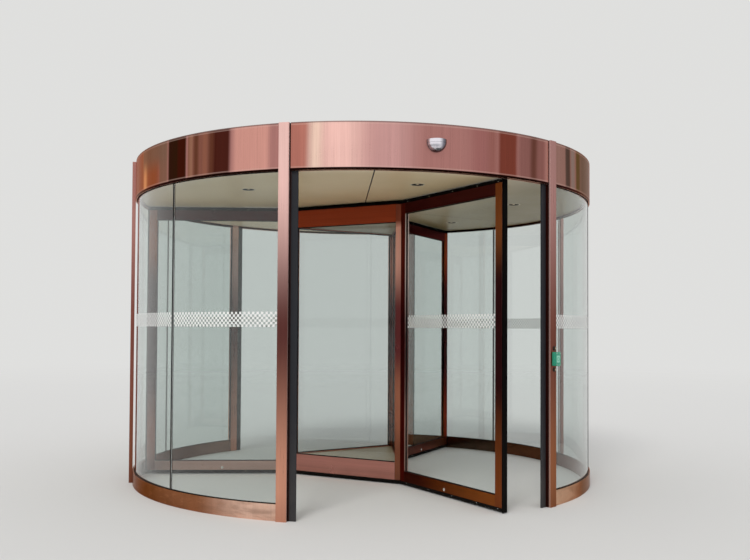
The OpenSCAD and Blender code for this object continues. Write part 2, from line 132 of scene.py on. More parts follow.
# node trees
class Graph:
    """A node tree, with short calls for its nodes. A colour is a hex tone, linear values or a socket."""

    def __init__(self, owner):
        owner.use_nodes = True
        self.owner = owner
        self.tree = owner.node_tree
        self.tree.nodes.clear()
        self.coords = None

    def put(self, socket, value):
        if isinstance(value, bpy.types.NodeSocket):
            self.tree.links.new(value, socket)
        elif socket.type == "RGBA":
            socket.default_value = (*linear(value), 1.0)
        else:
            socket.default_value = value

    def node(self, kind, inputs=None, **props):
        n = self.tree.nodes.new("ShaderNode" + kind)
        for key, value in props.items():
            setattr(n, key, value)
        for key, value in (inputs or {}).items():
            self.put(n.inputs[key], value)
        return n

    def math(self, op, a, b=0.0, c=0.0):
        return self.node("Math", {0: a, 1: b, 2: c}, operation=op).outputs[0]

    def times(self, a, b):
        return self.math("MULTIPLY", a, b)

    def vary(self, noise, amount, base):
        """The base value, raised and lowered by a noise."""
        return self.math("MULTIPLY_ADD", self.math("SUBTRACT", noise, 0.5), amount, base)

    def radius(self, x, y):
        return self.math("SQRT", self.math("ADD", self.times(x, x), self.times(y, y)))

    def ahead(self, x, y, angle):
        """How far a point lies from the axis in one direction of the plan."""
        return self.math("ADD", self.times(x, math.cos(angle)), self.times(y, math.sin(angle)))

    def object(self):
        if self.coords is None:
            self.coords = self.node("TexCoord").outputs["Object"]
        return self.coords

    def xyz(self):
        return self.node("SeparateXYZ", {0: self.object()}).outputs

    def normal(self):
        return self.node("SeparateXYZ", {0: self.node("TexCoord").outputs["Normal"]}).outputs

    def pack(self, x, y, z):
        return self.node("CombineXYZ", {0: x, 1: y, 2: z}).outputs[0]

    def noise(self, scale, detail=2.0, rough=0.5, twist=0.0, at=None):
        inputs = {"Vector": at or self.object(), "Scale": scale, "Detail": detail, "Roughness": rough,
                  "Distortion": twist}
        return self.node("TexNoise", inputs).outputs["Fac"]

    def ramp(self, value, a0, a1, b0=0.0, b1=1.0, kind="LINEAR"):
        """b0 at a0 and before it, b1 at a1 and past it."""
        inputs = {0: value, 1: a0, 2: a1, 3: b0, 4: b1}
        return self.node("MapRange", inputs, interpolation_type=kind).outputs[0]

    def ease(self, value, a0, a1, b0=0.0, b1=1.0):
        return self.ramp(value, a0, a1, b0, b1, "SMOOTHSTEP")

    def bell(self, value, centre, half, soft=1.0):
        """1 at the centre, 0 at half away from it and beyond."""
        away = self.math("ABSOLUTE", self.math("SUBTRACT", value, centre))
        return self.ease(away, half * (1 - soft), half, 1.0, 0.0)

    def mix(self, share, a, b):
        return self.node("Mix", {0: share, 6: a, 7: b}, data_type="RGBA").outputs[2]

    def blend(self, share, a, b):
        return self.node("Mix", {0: share, 2: a, 3: b}).outputs[0]

    def scale(self, colour, factor):
        return self.node("VectorMath", {0: colour, "Scale": factor}, operation="SCALE").outputs["Vector"]

    def bump(self, height, distance, strength, normal=None):
        n = self.node("Bump", {"Strength": strength, "Distance": distance, "Height": height})
        if normal is not None:
            self.put(n.inputs["Normal"], normal)
        return n.outputs[0]

    def surface(self, **inputs):
        inputs = {key.replace("_", " "): value for key, value in inputs.items()}
        return self.finish(self.node("BsdfPrincipled", inputs).outputs[0])

    def finish(self, shader, output="OutputMaterial"):
        self.tree.links.new(shader, self.node(output).inputs["Surface"])
        return self.owner


def material(name):
    return Graph(bpy.data.materials.new(name))


def linear(tone):
    """Three linear values from a hex tone. Linear values stay as they are."""
    if not isinstance(tone, str):
        return tone
    parts = [int(tone[i:i + 2], 16) / 255 for i in (0, 2, 4)]
    return tuple(p / 12.92 if p <= 0.04045 else ((p + 0.055) / 1.055) ** 2.4 for p in parts)


def darker(tone, factor):
    return tuple(c * factor for c in linear(tone))


# copper of the drum
STREAK, METAL = 0.012, 0.92

# painted reflections and highlights on the canopy: angle from the wall line on the right, half width,
# softness, tone, amount
CANOPY_REFLECTIONS = [
    (176.0, 24.0, 0.5, "AD623F", 0.92),
    (164.3, 2.3, 1.0, "FFB880", 0.97),
    (158.0, 5.0, 0.9, "96502E", 0.75),
    (153.6, 2.4, 0.5, "8C6858", 0.95),
    (148.2, 3.55, 0.22, "2A1A06", 1.00),
    (146.5, 1.9, 0.6, "3E1404", 0.95),
    (140.3, 4.4, 0.3, "84503E", 0.85),
    (143.9, 0.8, 0.8, "8C5A46", 0.85),
    (143.4, 1.0, 0.8, "A4745E", 0.80),
    (141.8, 1.2, 0.9, "683C2A", 0.90),
    (139.3, 1.1, 0.9, "9A624E", 0.80),
    (137.4, 1.5, 0.9, "643626", 0.90),
    (134.9, 2.6, 0.4, "48180E", 0.97),
    (127.8, 4.9, 0.35, "E2A295", 0.95),
    (108.6, 8.8, 0.8, "FCCAC0", 0.95),
    (99.6, 8.0, 0.9, "DCA8A4", 0.85),
    (117.6, 2.8, 0.5, "BE7666", 0.80),
    (113.9, 2.4, 1.0, "FFDCC8", 0.85),
    (80.2, 4.0, 0.9, "A46A66", 0.85),
    (73.4, 3.1, 0.4, "7A3626", 0.92),
    (77.4, 2.2, 1.0, "8C4E40", 0.45),
    (66.4, 5.2, 0.4, "90605A", 0.90),
    (65.9, 1.7, 0.9, "6A4036", 0.92),
    (50.0, 11.0, 0.3, "9E7C74", 0.90),
    (61.2, 1.2, 0.8, "BC887C", 0.70),
    (52.6, 1.7, 0.6, "4A4644", 0.95),
    (49.8, 1.5, 0.6, "948884", 0.90),
    (39.5, 9.2, 0.65, "606058", 0.95),
    (46.6, 1.9, 0.6, "555237", 0.95),
]

# painted highlight and reflections on the plinth, in the same columns
PLINTH_REFLECTIONS = [
    (176.0, 34.0, 0.6, "6C452C", 0.75),
    (122.0, 19.0, 0.75, "FFD4BE", 1.00),
    (56.0, 15.0, 0.8, "EEC6A8", 0.90),
    (37.0, 9.0, 0.4, "8A8070", 0.85),
]


def streaks(g, at):
    """Hairlines of a brushed sheet: fine, middle and broad."""
    return g.noise(1100.0, 2.0, 0.6, at=at), g.noise(150.0, 3.0, 0.6, at=at), g.noise(17.0, 2.0, 0.5, at=at)


def scuffs(g, scale=3.0):
    """Slow patches of fingerprints and cleaning marks."""
    return g.noise(scale, 4.0, 0.62, 0.6)


def facing(g, x, y):
    """How far the surface looks away from the axis, and round it. Both grow with the distance from it."""
    nx, ny, _ = g.normal()
    away = g.math("ADD", g.times(nx, x), g.times(ny, y))
    around = g.math("SUBTRACT", g.times(x, ny), g.times(y, nx))
    return away, around


def reflection_bands(g, x, y, z, tone, bands):
    """Broad upright bands by the angle round the drum, and one only high on the canopy: painted reflections
    of the surroundings in the curved sheet. The rear repeats the front."""
    turn = g.times(g.math("ABSOLUTE", g.math("ARCTAN2", y, x)), 180 / math.pi)
    turn = g.vary(g.noise(1.3, 1.0), 1.2, turn)
    for centre, half, soft, colour, amount in bands:
        tone = g.mix(g.times(g.bell(turn, centre, half, soft), amount), tone, colour)
    high = g.ease(z, ENTRY_H + 0.09, ENTRY_H + 0.26, 0.0, 0.92)
    return g.mix(g.times(g.bell(turn, 159.0, 7.6, 0.2), high), tone, "86695A")


def mottled(g, x, y, z, tone, amount):
    """Blotches of light and dark that lie along the sheet."""
    at = g.pack(x, y, g.times(z, 4.0))
    dark, light = g.noise(3.2, 3.0, 0.6, 1.2, at), g.noise(13.0, 3.0, 0.6, 0.8, at)
    tone = g.mix(g.ease(dark, 0.40, 0.70, 0.0, amount), tone, "6A4424")
    return g.mix(g.ease(light, 0.52, 0.80, 0.0, amount), tone, "E8A078")


def canopy_edges(g, z, colour):
    """Grey flashing at the top of the canopy, a dark band at its foot that is painted shade under the lip,
    and a lighter painted highlight on the bent edge beside each. What faces down is pale."""
    # painted highlights on the bent edges near the top and at the foot
    bend_highlights = g.math("MAXIMUM", g.bell(z, TOP - 0.016, 0.006, 0.8), g.bell(z, ENTRY_H + 0.022, 0.007, 0.8))
    flashing = g.ramp(z, TOP - 0.0095, TOP - 0.0080)
    # painted shade: the dark band at the foot under the lip
    lip = g.ramp(z, ENTRY_H + 0.0165, ENTRY_H + 0.0150)
    underside = g.math("LESS_THAN", g.normal()[2], -0.5)
    colour = g.mix(g.times(bend_highlights, 0.28), colour, "ECC8BC")
    colour = g.mix(g.times(flashing, 0.8), colour, "8C7470")
    colour = g.mix(lip, colour, "160402")
    return g.mix(underside, colour, "C8A090")


def post_sides(g, x, y, colour, tone):
    """The recess beside a post's proud cover is painted dark as shade, and the cover's narrow side is dull,
    with a pale painted highlight.
    """
    px, py = g.math("ABSOLUTE", x), g.times(g.math("ABSOLUTE", y), -1.0)
    beside = g.math("LESS_THAN", g.ahead(px, py, POST_A + math.pi / 2), 0.0004)
    recess = g.times(beside, g.math("LESS_THAN", g.ahead(px, py, POST_A), DRUM_R - 0.001))
    edge = g.math("SUBTRACT", beside, recess)
    # painted shade in the recess and a painted highlight on the cover's narrow side
    colour = g.mix(recess, colour, tone)
    colour = g.mix(g.times(edge, 0.25), colour, "FFE0D8")
    return colour, g.math("MULTIPLY_ADD", edge, -0.62, METAL)


def copper(name, low, mid, high, z_mid=1.1, rough=0.30, spread=0.30, bands=(), edges=False, recess_shade=None,
           inside=None, mottle=0.0):
    """Tinted brushed sheet. The tone runs from low, at the floor, through mid to high, at the top, as a
    painted reflection of ground, surroundings and sky.
    """
    g = material(name)
    x, y, z = g.xyz()
    fine, middle, broad = streaks(g, g.pack(x, y, g.times(z, STREAK)))
    # tone by height: painted reflection of ground, surroundings and sky
    tone = g.mix(g.ease(z, z_mid, ENTRY_H), mid, high)
    tone = g.mix(g.ease(z, z_mid, 0.15), tone, low)
    if bands:
        tone = reflection_bands(g, x, y, z, tone, bands)
    if mottle:
        tone = mottled(g, x, y, z, tone, mottle)
    shade = g.vary(fine, spread * 0.7, g.vary(broad, spread * 0.9, g.vary(middle, spread, 1.0)))
    colour, metal = g.scale(tone, shade), METAL
    if edges:
        colour = canopy_edges(g, z, colour)
    # faces turned toward the axis are darkened: painted shade of the drum's dark inside
    if inside:
        away, _ = facing(g, x, y)
        colour = g.mix(g.ramp(away, -0.8, -1.2, 0.0, 0.65), colour, inside)
    if recess_shade:
        colour, metal = post_sides(g, x, y, colour, recess_shade)
    marks = scuffs(g)
    colour = g.mix(g.times(g.ease(z, 0.22, 0.0, 0.0, 0.35), marks), colour, "5A4034")
    roughness = g.vary(marks, 0.12, g.vary(middle, 0.16, rough))
    return g.surface(Base_Color=colour, Metallic=metal, Roughness=roughness,
                     Normal=g.bump(fine, 0.00012, 0.6), Specular_Tint="D8B0A0")


# copper of the rotor
def beyond(g, z, z0, z1):
    """1 below z0 and above z1, 0 between them."""
    off = g.math("ABSOLUTE", g.math("SUBTRACT", z, (z0 + z1) / 2))
    return g.math("GREATER_THAN", off, (z1 - z0) / 2)


def wing_plan(g, x, y, z):
    """Distance from the axis, where a wing's rails are, and where they meet its uprights."""
    u = g.radius(x, y)
    between = g.times(g.math("GREATER_THAN", u, GLASS_X0), g.math("LESS_THAN", u, GLASS_X1))
    joint = g.math("MAXIMUM", g.bell(u, GLASS_X0, 0.0011, 0.4), g.bell(u, GLASS_X1, 0.0011, 0.4))
    outer = beyond(g, z, GLASS_Z0, GLASS_Z1)
    return u, g.times(between, outer), g.times(joint, outer)


def showcase_plan(g, x, y, z):
    """Place along the showcase's sides, where its rails are, and where they meet its uprights."""
    u, across = 0.0, 0.0
    for a in FACE_A:
        near = g.math("GREATER_THAN", g.ahead(x, y, a), CORE_IN - 0.02)
        along = g.times(g.ahead(x, y, a + math.pi / 2), near)
        u = g.math("ADD", u, along)
        across = g.math("MAXIMUM", across, g.math("ABSOLUTE", along))
    between = g.math("LESS_THAN", across, CORE_W)
    joint = g.bell(across, CORE_W, 0.0011, 0.4)
    outer = beyond(g, z, CORE_Z0, CORE_Z1)
    return u, g.times(between, outer), g.times(joint, outer)


def showcase_tone(g, z, rail):
    """Rose copper with painted reflections along its height: uprights dark in their middle and pale high up,
    and a pale bottom rail. The top rail and the upright ends at it are brown red.
    """
    upright = g.mix(g.ease(z, 1.45, 1.95), "6A3030", "DEA08E")
    upright = g.mix(g.ease(z, 1.15, 0.75), upright, "A86850")
    upright = g.mix(g.ease(z, 0.55, 0.25), upright, "8E5640")
    bar = g.mix(g.ramp(z, 0.3, 2.0), "CC8C80", "9C4226")
    end = g.mix(rail, "78321C", "9C4226")
    return g.mix(g.ramp(z, CORE_Z1 - 0.05, CORE_Z1 + 0.01, 0.0, 0.92), g.mix(rail, upright, bar), end)


def wing_tone(g, x, y, z, u, rail):
    """Dark red frame whose tones by height and toward the root are painted reflection and shade. The root's
    narrow outer face is bright, a painted highlight, and one side of the bottom rail is pale, a painted
    reflection of the ground.
    """
    away, around = facing(g, x, y)
    # painted highlight on outward faces and a painted reflection of the ground on one side of the bottom
    # rail
    outward = g.math("GREATER_THAN", g.math("DIVIDE", away, u), 0.8)
    ground_reflection_side = g.math("GREATER_THAN", g.math("DIVIDE", around, u), 0.5)
    # tones by height and toward the root: painted reflection and shade
    stile = g.mix(g.ease(z, 1.65, 2.1), "341618", "92542E")
    stile = g.mix(g.ease(z, 0.95, 0.30), stile, "8E4C28")
    root = g.mix(g.ease(z, 1.3, 2.2), "3A0806", "6E281C")
    root = g.mix(g.ease(z, 1.0, 0.4), root, "581608")
    upright = g.mix(g.math("GREATER_THAN", u, GLASS_X1), root, stile)
    low_bar = g.mix(g.ramp(u, 0.9, 1.75), "3E180A", "965426")
    low_bar = g.mix(ground_reflection_side, low_bar, "CCAA9E")
    bar = g.mix(g.math("GREATER_THAN", z, 1.2), low_bar, "4A2220")
    step = g.mix(g.ease(z, 1.2, 1.9), "6A4A46", "E8CCC4")
    step = g.mix(g.ease(z, 1.0, 0.5), step, "B89084")
    return g.mix(outward, g.mix(rail, upright, bar), step)


def rotor_copper(name, showcase=False):
    """Dark red satin sheet. Uprights are brushed upright and rails along their length."""
    g = material(name)
    x, y, z = g.xyz()
    if showcase:
        u, rail, seam = showcase_plan(g, x, y, z)
        tone, coat = showcase_tone(g, z, rail), 0.08
    else:
        u, rail, seam = wing_plan(g, x, y, z)
        tone, coat = wing_tone(g, x, y, z, u, rail), 0.0
    upright = streaks(g, g.pack(x, y, g.times(z, STREAK)))
    level = streaks(g, g.pack(g.times(u, STREAK), 0.0, z))
    fine, middle, broad = [g.blend(rail, *pair) for pair in zip(upright, level)]
    shade = g.vary(fine, 0.22, g.vary(broad, 0.38, g.vary(middle, 0.34, 1.0)))
    marks = scuffs(g, 4.0)
    colour = g.mix(g.times(seam, 0.85), g.scale(tone, shade), "1E0906")
    colour = g.mix(g.times(g.ease(z, 0.16, 0.03, 0.0, 0.4), marks), colour, "4A382E")
    height = g.math("SUBTRACT", g.times(fine, 0.12), seam)
    return g.surface(Base_Color=colour, Metallic=0.9, Roughness=g.vary(marks, 0.16, 0.30),
                     Normal=g.bump(height, 0.0007, 0.7), Coat_Weight=coat, Coat_Roughness=0.22,
                     Specular_Tint="C07060")


# glass, rubber, paint and small materials
def glass(name, tint):
    """Clear glass that lets lamps through, with faint cleaning marks in its gloss."""
    g = material(name)
    marks = g.ease(g.noise(2.0, 5.0, 0.65, 0.8), 0.45, 0.75, 0.0, 0.02)
    foot = g.ease(g.xyz()[2], 0.45, 0.1, 0.0, 0.01)
    pane = g.node("BsdfPrincipled", {"Base Color": tint, "Roughness": g.math("ADD", marks, foot), "IOR": 1.5,
                                     "Transmission Weight": 1.0})
    through = g.node("BsdfTransparent", {"Color": (0.93, 0.945, 0.94)})
    path = g.node("LightPath").outputs
    lets = g.math("MAXIMUM", path["Is Shadow Ray"], path["Is Diffuse Ray"])
    return g.finish(g.node("MixShader", {0: lets, 1: pane.outputs[0], 2: through.outputs[0]}).outputs[0])


def rubber(name, tone, rough, gloss, ribs=0.0, bloom=0.5):
    """Extruded rubber, or black paint: fine lengthwise ribs, and dust in the lower part."""
    g = material(name)
    x, y, z = g.xyz()
    grain = g.noise(900.0, 2.0, 0.6)
    lines = g.noise(330.0, 2.0, 0.55, at=g.pack(x, y, g.times(z, 0.02)))
    patch = g.noise(6.0, 4.0, 0.6)
    dust = g.times(g.ease(z, 0.9, 0.0, 0.08, 0.45), patch)
    light = tuple(c * 1.7 + 0.004 for c in linear(tone))
    colour = g.mix(g.times(lines, 0.55), tone, light)
    colour = g.mix(g.times(dust, bloom), colour, "8A8076")
    height = g.math("ADD", g.times(grain, 0.3), g.times(lines, ribs))
    return g.surface(Base_Color=colour, Roughness=g.vary(patch, 0.2, rough),
                     Normal=g.bump(height, 0.0004, 0.5), Specular_IOR_Level=gloss)


def paint_noise(g):
    """Slow changes of tone, orange peel and specks of a sprayed sheet."""
    return g.noise(1.7, 3.0, 0.55), g.noise(420.0, 1.0, 0.5), g.noise(60.0, 3.0, 0.7)


def painted(name, tone, rough):
    """Sprayed sheet with a light orange peel and slow changes of tone."""
    g = material(name)
    slow, peel, spots = paint_noise(g)
    colour = g.mix(g.ramp(slow, 0.3, 0.7), tone, darker(tone, 0.82))
    colour = g.mix(g.ramp(spots, 0.62, 0.8, 0.0, 0.16), colour, darker(tone, 0.55))
    return g.surface(Base_Color=colour, Roughness=g.vary(slow, 0.18, rough),
                     Normal=g.bump(peel, 0.00015, 0.5))


def radial_joints(g, x, y, count, half):
    """1 on thin lines that run out from the axis, the first of them over the ceiling's front joint."""
    lines = 0.0
    for k in range(count):
        a = math.radians(CEILING_JOINT + 360 / count * k)
        near = g.bell(g.ahead(x, y, a + math.pi / 2), 0.0, half, 0.3)
        line = g.times(near, g.math("GREATER_THAN", g.ahead(x, y, a), 0.0))
        lines = g.math("MAXIMUM", lines, line)
    return lines


def roof_paint(name, tone, dark):
    """Primed roof sheets with thin dark joints between them, dust along the joints and toward the rim."""
    g = material(name)
    x, y, _ = g.xyz()
    slow, peel, spots = paint_noise(g)
    joints = radial_joints(g, x, y, ROOF_SHEETS, 0.0045)
    beside = g.times(radial_joints(g, x, y, ROOF_SHEETS, 0.060), 0.4)
    dust = g.times(g.math("MAXIMUM", g.ease(g.radius(x, y), 1.80, 1.98, 0.0, 0.6), beside), spots)
    colour = g.mix(g.ramp(slow, 0.3, 0.7), tone, dark)
    colour = g.mix(g.ramp(spots, 0.62, 0.8, 0.0, 0.3), colour, darker(tone, 0.55))
    colour = g.mix(dust, colour, "8A8074")
    colour = g.mix(joints, colour, "3C3A38")
    return g.surface(Base_Color=colour, Roughness=g.vary(slow, 0.18, 0.6),
                     Normal=g.bump(joints, 0.0012, 0.8, g.bump(peel, 0.00015, 0.5)))


def ceiling_paint(name, tone, joint):
    """Cream boards with painted light: paler at the rim, and darker and more olive to the right. They are
    dark at their joints and edges, painted shade of the gaps between them.
    """
    g = material(name)
    x, y, _ = g.xyz()
    slow, peel, spots = paint_noise(g)
    # dark joint faces and thin strips beside the joints: painted shade of the gaps
    edge = g.math("LESS_THAN", g.math("ABSOLUTE", g.normal()[2]), 0.5)
    edge = g.math("MAXIMUM", edge, radial_joints(g, x, y, CEILING_BOARDS, 0.0056))
    colour = g.mix(g.ramp(slow, 0.3, 0.7), tone, darker(tone, 0.90))
    # paler at the rim: painted light
    colour = g.mix(g.ease(g.radius(x, y), 1.70, INNER_R, 0.0, 0.35), colour, "FFF0E0")
    # darker and more olive to the right: painted shade
    colour = g.mix(g.ease(x, 0.25, 1.15, 0.0, 0.9), colour, "867446")
    colour = g.mix(g.ramp(spots, 0.62, 0.8, 0.0, 0.12), colour, darker(tone, 0.6))
    colour = g.mix(edge, colour, joint)
    return g.surface(Base_Color=colour, Roughness=g.vary(slow, 0.18, 0.38),
                     Normal=g.bump(peel, 0.00015, 0.5))


def dome_shell(name):
    """Glossy silver shell whose colour is painted reflection and shade: bright below its flat rim, greyer
    toward its foot and its sides, with a grey band across it, and dark where it turns away.
    """
    g = material(name)
    fine, slow = g.noise(300.0, 2.0, 0.6), g.noise(34.0, 3.0, 0.6)
    x, _, z = g.xyz()
    down = g.vary(slow, 0.35, g.times(g.math("SUBTRACT", z, DOME_Z), -1.0 / DOME_R))
    across = g.vary(fine, 0.2, g.times(x, 1.0 / DOME_R))
    rim = g.node("LayerWeight", {"Blend": 0.35}).outputs["Facing"]
    reflection_belt = g.times(g.bell(down, 0.46, 0.22), g.ease(across, 0.25, -0.15))
    # painted highlight, a greyer painted reflection to the right and across the middle, painted shade at the
    # foot and the edge
    colour = g.mix(g.ease(across, -0.05, 0.52, 0.0, 0.95), "FAF6FF", "6A6676")
    colour = g.mix(g.times(reflection_belt, 0.6), colour, "7A7C88")
    colour = g.mix(g.ease(down, 0.55, 0.92), colour, "3A3236")
    colour = g.mix(g.ease(rim, 0.10, 0.60), colour, "342A30")
    return g.surface(Base_Color=colour, Metallic=0.7, Roughness=g.vary(slow, 0.10, 0.12),
                     Normal=g.bump(fine, 0.0001, 0.3), Coat_Weight=0.5, Coat_Roughness=0.05)


def steel(name, tone, rough):
    """Turned or rolled steel with fine lines and a little staining."""
    g = material(name)
    x, y, z = g.xyz()
    lines = g.noise(700.0, 3.0, 0.6, at=g.pack(g.times(x, 0.15), g.times(y, 0.15), z))
    stain = g.noise(9.0, 4.0, 0.6)
    colour = g.mix(g.ramp(lines, 0.3, 0.7, 0.0, 0.5), tone, darker(tone, 0.7))
    colour = g.mix(g.ramp(stain, 0.55, 0.8, 0.0, 0.35), colour, darker(tone, 0.6))
    return g.surface(Base_Color=colour, Metallic=1.0, Roughness=g.vary(stain, 0.2, rough),
                     Normal=g.bump(lines, 0.00008, 0.5))


def plastic(name, tone, rough, coat=0.3):
    """Moulded shell: fine spark texture, a gloss coat and faint handling marks."""
    g = material(name)
    fine, slow = g.noise(500.0, 2.0, 0.6), g.noise(22.0, 4.0, 0.6)
    colour = g.mix(g.ramp(slow, 0.35, 0.75, 0.0, 0.5), tone, darker(tone, 0.78))
    return g.surface(Base_Color=colour, Roughness=g.vary(slow, 0.14, rough),
                     Normal=g.bump(fine, 0.00012, 0.4), Coat_Weight=coat, Coat_Roughness=0.12)


def bristle(name):
    """Black nylon bristles, with grey dust near the floor."""
    g = material(name)
    x, y, z = g.xyz()
    hair = g.noise(800.0, 2.0, 0.6, at=g.pack(x, y, g.times(z, 0.1)))
    colour = g.mix(g.times(hair, 0.7), "030303", "0C0A0A")
    colour = g.mix(g.times(g.ramp(z, 0.02, 0.006, 0.0, 0.35), hair), colour, "6A5E52")
    return g.surface(Base_Color=colour, Roughness=g.ramp(hair, 0.3, 0.7, 0.55, 0.8),
                     Normal=g.bump(hair, 0.0005, 0.6), Specular_IOR_Level=0.1)


def film(name):
    """Matt white vinyl with a faint print grain."""
    g = material(name)
    grain, wear = g.noise(1300.0, 2.0, 0.6), g.noise(14.0, 4.0, 0.65)
    colour = g.mix(g.ramp(wear, 0.4, 0.8, 0.0, 0.5), "F2F2F0", "D2D6D6")
    return g.surface(Base_Color=colour, Roughness=g.ramp(wear, 0.3, 0.7, 0.32, 0.55),
                     Normal=g.bump(grain, 0.00006, 0.4))


def lens(name):
    """Frosted lamp glass with a prismatic pattern and a faint glow."""
    g = material(name)
    pattern = g.noise(240.0, 1.0)
    return g.surface(Base_Color=g.mix(pattern, "F2E6C8", "C8B890"), Roughness=0.3,
                     Normal=g.bump(pattern, 0.0006, 0.8), Emission_Color="FFF0CC", Emission_Strength=0.12)


MAT = {
    "canopy": copper("copper_canopy", "B4746A", "B4746A", "B8807A", spread=0.24, bands=CANOPY_REFLECTIONS,
                     edges=True),
    # the left and right posts are one copper, in two tones of painted reflection and shade
    "post_left": copper("copper_post_left", "DE9E84", "643A36", "FFD0C8", z_mid=1.30, spread=0.22,
                        recess_shade="4A3A3A"),
    "post_right": copper("copper_post_right", "9E6648", "784A40", "B48884", z_mid=1.20, spread=0.22,
                         recess_shade="5A3028"),
    "plinth": copper("copper_plinth", "A46A48", "A87050", "A87050", rough=0.2, bands=PLINTH_REFLECTIONS,
                     inside="240A04", mottle=0.38),
    "jamb": copper("copper_jamb", "8C5440", "8A5248", "C08880", z_mid=1.3),
    "wing": rotor_copper("copper_wing"),
    "core": rotor_copper("copper_showcase", showcase=True),
    "curved_glass": glass("glass_curved", (0.79, 0.835, 0.82)),
    "flat_glass": glass("glass_flat", (0.80, 0.835, 0.825)),
    "seal": rubber("rubber_seal", "0C0D0E", 0.6, 0.15),
    "edge": rubber("rubber_edge", "1B1E24", 0.5, 0.2, ribs=0.8),
    "tip": rubber("rubber_tip", "040303", 0.8, 0.02, ribs=0.7, bloom=0.08),
    "holder": rubber("metal_holder", "040303", 0.7, 0.02, bloom=0.1),
    "gasket": rubber("rubber_gasket", "0A0706", 0.65, 0.12, bloom=0.15),
    "ceiling": ceiling_paint("paint_ceiling", "E8CFA4", "3A220C"),
    "roof": roof_paint("paint_roof", "AAA6A1", "9A968F"),
    "deck": painted("paint_deck", "A8987C", 0.45),
    "trim": painted("paint_trim", "0C0804", 0.6),
    "cap": painted("paint_cap", "BCA47C", 0.35),
    "ring": painted("paint_ring", "E0D4BC", 0.35),
    "steel": steel("steel_plain", "B0B0B2", 0.34),
    "stud": steel("steel_stud", "46403C", 0.3),
    "brass": steel("steel_plug", "E8C8A0", 0.25),
    "screw": steel("steel_screw", "E6E2DE", 0.25),
    "shell": dome_shell("plastic_sensor"),
    "dark_lens": plastic("plastic_lens", "4E4C52", 0.12, coat=0.8),
    "green": plastic("plastic_green", "2F9C7C", 0.25),
    "green_light": plastic("plastic_green_light", "8CD8BE", 0.2),
    "bristle": bristle("nylon_bristle"),
    "film": film("vinyl_film"),
    "lens": lens("lamp_lens"),
}

# material of each CAD node, by the start of its name
FINISHES = {
    "canopy": ("fascia",),
    "post_left": ("post_front_left", "post_rear_left"),
    "post_right": ("post_front_right", "post_rear_right"),
    "plinth": ("plinth",),
    "jamb": ("jamb",),
    "roof": ("canopy_roof",),
    "ceiling": ("ceiling",),
    "trim": ("downlights",),
    "steel": ("drive_beam", "top_bearing", "spindle"),
    "curved_glass": ("pane_front", "pane_rear"),
    "flat_glass": ("showcase_glass", "wing_glass"),
    "seal": ("pane_seals",),
    "edge": ("rubber_",),
    "tip": ("wing_rubber",),
    "shell": ("dome",),
    "green": ("release_unit",),
    "stud": ("release_studs",),
    "deck": ("showcase_floor", "showcase_top"),
    "core": ("showcase_frame",),
    "wing": ("wing_frame",),
    "bristle": ("brush",),
}


def dress_nodes():
    """Gives each CAD node its material."""
    for key, starts in FINISHES.items():
        for name, node in nodes.items():
            if name.startswith(starts):
                node.data.materials.clear()
                node.data.materials.append(MAT[key])


# mesh building
class Solid:
    """Closed shapes gathered into one piece."""

    def __init__(self):
        self.verts, self.faces, self.slots, self.smooth = [], [], [], []

    def add(self, face, slot, smooth):
        self.faces.append(face)
        self.slots.append(slot)
        self.smooth.append(smooth)

    def sweep(self, rings, closed=False, slot=0, smooth=False):
        """Skins a row of rings, each a list of points. An open row gets end faces."""
        base, size, rows = len(self.verts), len(rings[0]), len(rings)
        for ring in rings:
            self.verts.extend(tuple(p) for p in ring)
        for i in range(rows if closed else rows - 1):
            a, b = base + i * size, base + ((i + 1) % rows) * size
            for k in range(size):
                after = (k + 1) % size
                self.add((a + k, a + after, b + after, b + k), slot, smooth)
        if not closed:
            self.add(tuple(base + k for k in reversed(range(size))), slot, False)
            self.add(tuple(base + (rows - 1) * size + k for k in range(size)), slot, False)

    def lathe(self, section, place, count, slot=0):
        """Turns a closed section in (radius, height) about the z axis of a place."""
        turns = [2 * math.pi * i / count for i in range(count)]
        rings = [[place @ Vector((r * math.cos(t), r * math.sin(t), h)) for r, h in section] for t in turns]
        self.sweep(rings, closed=True, slot=slot, smooth=True)

    def block(self, place, half_x, half_y, z0, z1, slot=0):
        """Block round the z axis of a place, from z0 to z1."""
        corners = ((-half_x, -half_y), (half_x, -half_y), (half_x, half_y), (-half_x, half_y))
        self.sweep([[place @ Vector((x, y, z)) for x, y in corners] for z in (z0, z1)], slot=slot)

    def piece(self, name, materials, body, slot=None):
        mesh = bpy.data.meshes.new(name)
        mesh.from_pydata(self.verts, [], self.faces)
        for key in materials:
            mesh.materials.append(MAT[key])
        mesh.polygons.foreach_set("material_index", self.slots)
        mesh.polygons.foreach_set("use_smooth", self.smooth)
        mesh.validate()
        mesh.update()
        mesh.set_sharp_from_angle(angle=math.radians(35))
        face_out(mesh)
        obj = bpy.data.objects.new(name, mesh)
        bpy.context.scene.collection.objects.link(obj)
        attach(obj, body)
        return obj


def face_out(mesh):
    """Turns the faces of closed shapes outward."""
    bm = bmesh.new()
    bm.from_mesh(mesh)
    bmesh.ops.recalc_face_normals(bm, faces=bm.faces)
    bm.to_mesh(mesh)
    bm.free()


def polar(r, a, z):
    return (r * math.cos(a), r * math.sin(a), z)


def directions(a):
    """Unit vectors away from the axis and round it, at an angle in radians."""
    return Vector((math.cos(a), math.sin(a), 0)), Vector((-math.sin(a), math.cos(a), 0))


def arc_rings(section, a0, a1, step=0.75):
    """Rings of a section in (radius, height) along an arc, with angles in degrees."""
    n = max(2, int(abs(a1 - a0) / step) + 1)
    return [[polar(r, math.radians(a0 + (a1 - a0) * i / n), z) for r, z in section] for i in range(n + 1)]


def mirrored(rings, sx, sy):
    return [[(sx * x, sy * y, z) for x, y, z in ring] for ring in rings]


def turned_to(angle):
    return Matrix.Rotation(angle, 4, "Z")


